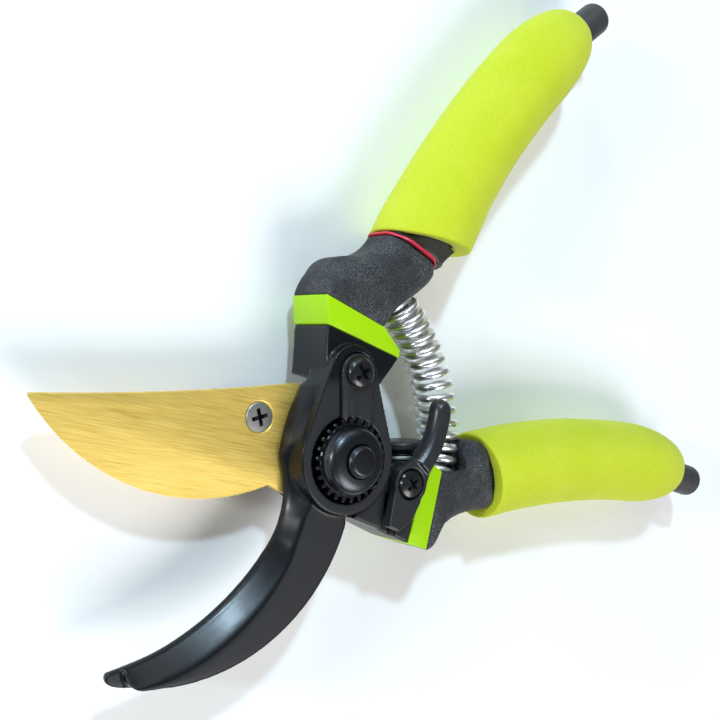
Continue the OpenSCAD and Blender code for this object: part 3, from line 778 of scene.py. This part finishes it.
# shares of the wings' length and thickness at the mouth and at the foot of a driver recess
recess = {"above": 0.6 * mm, "mouth": 1.15, "foot": 0.55, "thin": 0.085, "voxel": 0.08 * mm}
screws = {
    "lockScrew": {"node": "lock_plate_screw", "body": "hook_side", "slot": "black_steel", "turn": 32,
                  "profile": [(1.95, -3), (1.95, 0), (3.25, 0), (3.5, 0.2), (3.5, 0.8), (3.35, 1.2), (2.95, 1.55),
                              (2.2, 1.8), (1.2, 1.93), (0, 1.96)],
                  "seat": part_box("nut_lock_plate")[1][2], "span": 4.7 * mm, "deep": 1.5 * mm},
    "latchScrew": {"node": "latch_screw", "body": "blade_side", "slot": "black_steel", "turn": 38,
                   "profile": [(1.75, -7), (1.75, 0.1), (3.0, 0.1), (3.25, 0.35), (3.25, 0.8), (2.9, 1.3),
                               (2.1, 1.62), (1.0, 1.78), (0, 1.8)],
                   "seat": 20.4 * mm, "span": 3.8 * mm, "deep": 1.3 * mm},
    "bladeScrew": {"node": "blade_screw", "body": "blade_side", "slot": "bright_steel", "turn": 12,
                   "profile": [(1.75, -7.8), (1.75, -1.8), (3.25, -0.3), (3.3, -0.12), (3.1, 0.06), (2.4, 0.13),
                               (1.2, 0.17), (0, 0.18)],
                   "seat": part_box("blade")[1][2], "span": 4.2 * mm, "deep": 1.3 * mm},
}


def crossCutter(at, top, look):
    # a tapered four-winged driver recess, finished in near-black painted shade
    bm = bmesh.new()
    half, thin = look["span"] / 2, look["span"] * recess["thin"]
    for wing in (0, 90):
        turn = Matrix.Rotation(math.radians(look["turn"] + wing), 3, "Z")
        v = []
        for level, grow in ((recess["above"], recess["mouth"]), (-look["deep"], recess["foot"])):
            for sx, sy in ((-1, -1), (1, -1), (1, 1), (-1, 1)):
                p = turn @ Vector((sx * half * grow, sy * thin * (0.7 + 0.6 * grow), 0))
                v.append(bm.verts.new(Vector((*at, top + level)) + p))
        for face in ((0, 3, 2, 1), (4, 5, 6, 7), (0, 1, 5, 4), (1, 2, 6, 5), (2, 3, 7, 6), (3, 0, 4, 7)):
            bm.faces.new([v[i] for i in face])
    cutter = looseObject("cutter", meshOf(bm, "cutter"))
    join = cutter.modifiers.new("join", "REMESH")
    join.mode, join.voxel_size = "VOXEL", recess["voxel"]
    baked(cutter)
    # the cutter carries the near-black painted shade into the recess it cuts
    cutter.data.materials.append(finishes["recess"])
    return cutter


def cutBy(piece, cutter):
    # takes the cutter out of the piece and removes the cutter
    step = piece.modifiers.new("cut", "BOOLEAN")
    step.operation, step.solver, step.object = "DIFFERENCE", "EXACT", cutter
    # the cut faces take the cutter's finish, which is the painted recess shade
    step.material_mode = "TRANSFER"
    baked(piece)
    bpy.data.objects.remove(cutter)


def makeScrew(name):
    look = screws[name]
    at = boxCentre(look["node"])
    bm = bmesh.new()
    lathe(bm, inMetres([(0, look["profile"][0][1])] + look["profile"]), (*at, look["seat"]), steps=56)
    piece = newPiece(name, meshOf(bm, name), look["body"], look["slot"], look["node"])
    cutBy(piece, crossCutter(at, look["seat"] + look["profile"][-1][1] * mm, look))
    smoothShade(piece.data, 32)


for screwName in screws:
    makeScrew(screwName)
print("pivot and screws made")

machined("cuttingBlade", "blade", "blade_side", "gold_blade", 0.18 * mm)
machined("latchWasher", "latch_washer", "blade_side", "bright_steel", 0.04 * mm)

# (radius, height) in mm from the casting's face
bumperCap = [(0, -3.4), (1.75, -3.4), (1.75, 0.9), (3.6, 0.95), (4.0, 1.3), (3.7, 1.9), (4.1, 2.4), (5.3, 2.5),
             (5.6, 2.75), (5.6, 3.6), (5.45, 4.0), (5.0, 4.28), (4.2, 4.38), (2.5, 4.4), (0, 4.4)]
bumperSeat = [(1.9, 0), (4.7, 0), (5.0, 0.2), (5.0, 0.35), (4.6, 0.6), (4.45, 0.88), (1.9, 0.88), (1.9, 0)]
bumperParts = {
    "bumperCap": {"node": "bumper", "slot": "bumper_rubber", "profile": bumperCap, "sharp": 50},
    "bumperSeat": {"node": "bumper_seat", "slot": "bright_steel", "profile": bumperSeat, "sharp": 40},
}


def makeBumper():
    # both stand on the casting, where the seat's box begins
    at = Vector((boxCentre("bumper_seat")[0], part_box("bumper_seat")[0][1], midZ))
    for name, look in bumperParts.items():
        bm = bmesh.new()
        lathe(bm, inMetres(look["profile"]), at, Vector((0, 1, 0)))
        piece = newPiece(name, meshOf(bm, name), "blade_side", look["slot"], look["node"])
        smoothShade(piece.data, look["sharp"])


makeBumper()
print("blade and bumper made")

spring = {"start": flat(31.5, -9), "mid": flat(37.5, 18), "end": flat(17.5, 36.5), "outer": 10.3 * mm,
          "wire": 2 * mm, "turns": 17, "closeEnds": 0.018, "steps": 32, "sides": 14}


def makeSpring():
    bm = bmesh.new()
    a, b, c = spring["start"], spring["mid"], spring["end"]
    coil = (spring["outer"] - spring["wire"]) / 2
    count = spring["steps"] * spring["turns"]
    spots = []
    for i in range(count + 1):
        # the end turns lie close together
        t = i / count - spring["closeEnds"] * math.sin(2 * math.pi * i / count)
        p = a * (1 - t) ** 2 + b * 2 * t * (1 - t) + c * t * t
        d = ((b - a) * (1 - t) + (c - b) * t).normalized()
        side = Vector((d.y, -d.x, 0))
        w = 2 * math.pi * i / spring["steps"]
        spots.append(Vector((p.x, p.y, midZ)) + (side * math.cos(w) + Vector((0, 0, math.sin(w)))) * coil)
    rings = []
    for i, p in enumerate(spots):
        ahead = (spots[min(i + 1, count)] - spots[max(i - 1, 0)]).normalized()
        across = ahead.cross(Vector((0.3, 0.2, 1))).normalized()
        other = ahead.cross(across)
        ring = []
        for k in range(spring["sides"]):
            w = 2 * math.pi * k / spring["sides"]
            ring.append(bm.verts.new(p + (across * math.cos(w) + other * math.sin(w)) * spring["wire"] / 2))
        rings.append(ring)
    for r1, r2 in zip(rings, rings[1:]):
        # match neighbours so that the skin doesn't twist
        shift = min(range(len(r2)), key=lambda s: (r2[s].co - r1[0].co).length)
        r2[:] = r2[shift:] + r2[:shift]
        joinRings(bm, r1, r2)
    bm.faces.new(rings[0])
    bm.faces.new(list(reversed(rings[-1])))
    piece = newPiece("returnSpring", meshOf(bm, "returnSpring"), None, "spring_chrome", "return_spring")
    roundShade(piece.data)
    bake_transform(piece)


makeSpring()
machined("upperStud", "upper_spring_stud", "hook_side", "bright_steel", 0.3 * mm)
machined("lowerStud", "lower_spring_stud", "blade_side", "bright_steel", 0.3 * mm)
print("spring made")

studio = {"floorHalf": 3.0, "floorDrop": 0.1 * mm, "world": 0.2, "aim": (0, 0, 0.01)}
lamps = {
    # name: place, size, power, colour
    "topBox": ((0.25, -0.75, 0.85), (0.6, 0.6), 8.2, (1, 1, 1)),
    "streak": ((-0.21, 0.65, 0.73), (0.08, 0.07), 4.8, (0.6, 0.83, 1)),
    "farStrip": ((-0.41, 0.91, 0.30), (0.22, 0.07), 2, (0.7, 0.88, 1)),
    "leftStrip": ((-0.95, 0.22, 0.34), (0.07, 0.24), 4, (0.9, 0.96, 1)),
    "rear": ((-0.45, -0.85, 0.75), (0.3, 0.2), 1.0, (0.95, 0.98, 1)),
    "fill": ((0.3, 1.1, 0.7), (0.7, 0.5), 1.6, (1, 1, 1)),
}


def paleFloor():
    f = Finish("paleFloor")
    tone = f.mix(f.grain(0.3, 2), (0.97, 0.97, 0.97), (0.98, 0.98, 0.98))
    return f.done(f.shader(tone, Roughness=0.9 + 0.05 * f.grain(10 * mm, 2), Specular_IOR_Level=0.1))


def makeStudio():
    bm = bmesh.new()
    bmesh.ops.create_grid(bm, x_segments=1, y_segments=1, size=studio["floorHalf"])
    floor = looseObject("floor", meshOf(bm, "floor"))
    floor.data.materials.append(paleFloor())
    floor.location.z = -studio["floorDrop"]
    world = bpy.data.worlds.new("studio")
    world.use_nodes = True
    sky = world.node_tree.nodes["Background"]
    sky.inputs["Color"].default_value = (1, 1, 1, 1)
    sky.inputs["Strength"].default_value = studio["world"]
    bpy.context.scene.world = world
    for name, (place, size, power, colour) in lamps.items():
        data = bpy.data.lights.new(name, "AREA")
        data.shape, data.size, data.size_y = "RECTANGLE", size[0], size[1]
        data.energy, data.color = power, colour
        lamp = looseObject(name, data)
        lamp.location = place
        lamp.rotation_euler = (Vector(studio["aim"]) - Vector(place)).to_track_quat("-Z", "Y").to_euler()
    bpy.context.scene.view_settings.view_transform = "Standard"


makeStudio()
print("scene ready")
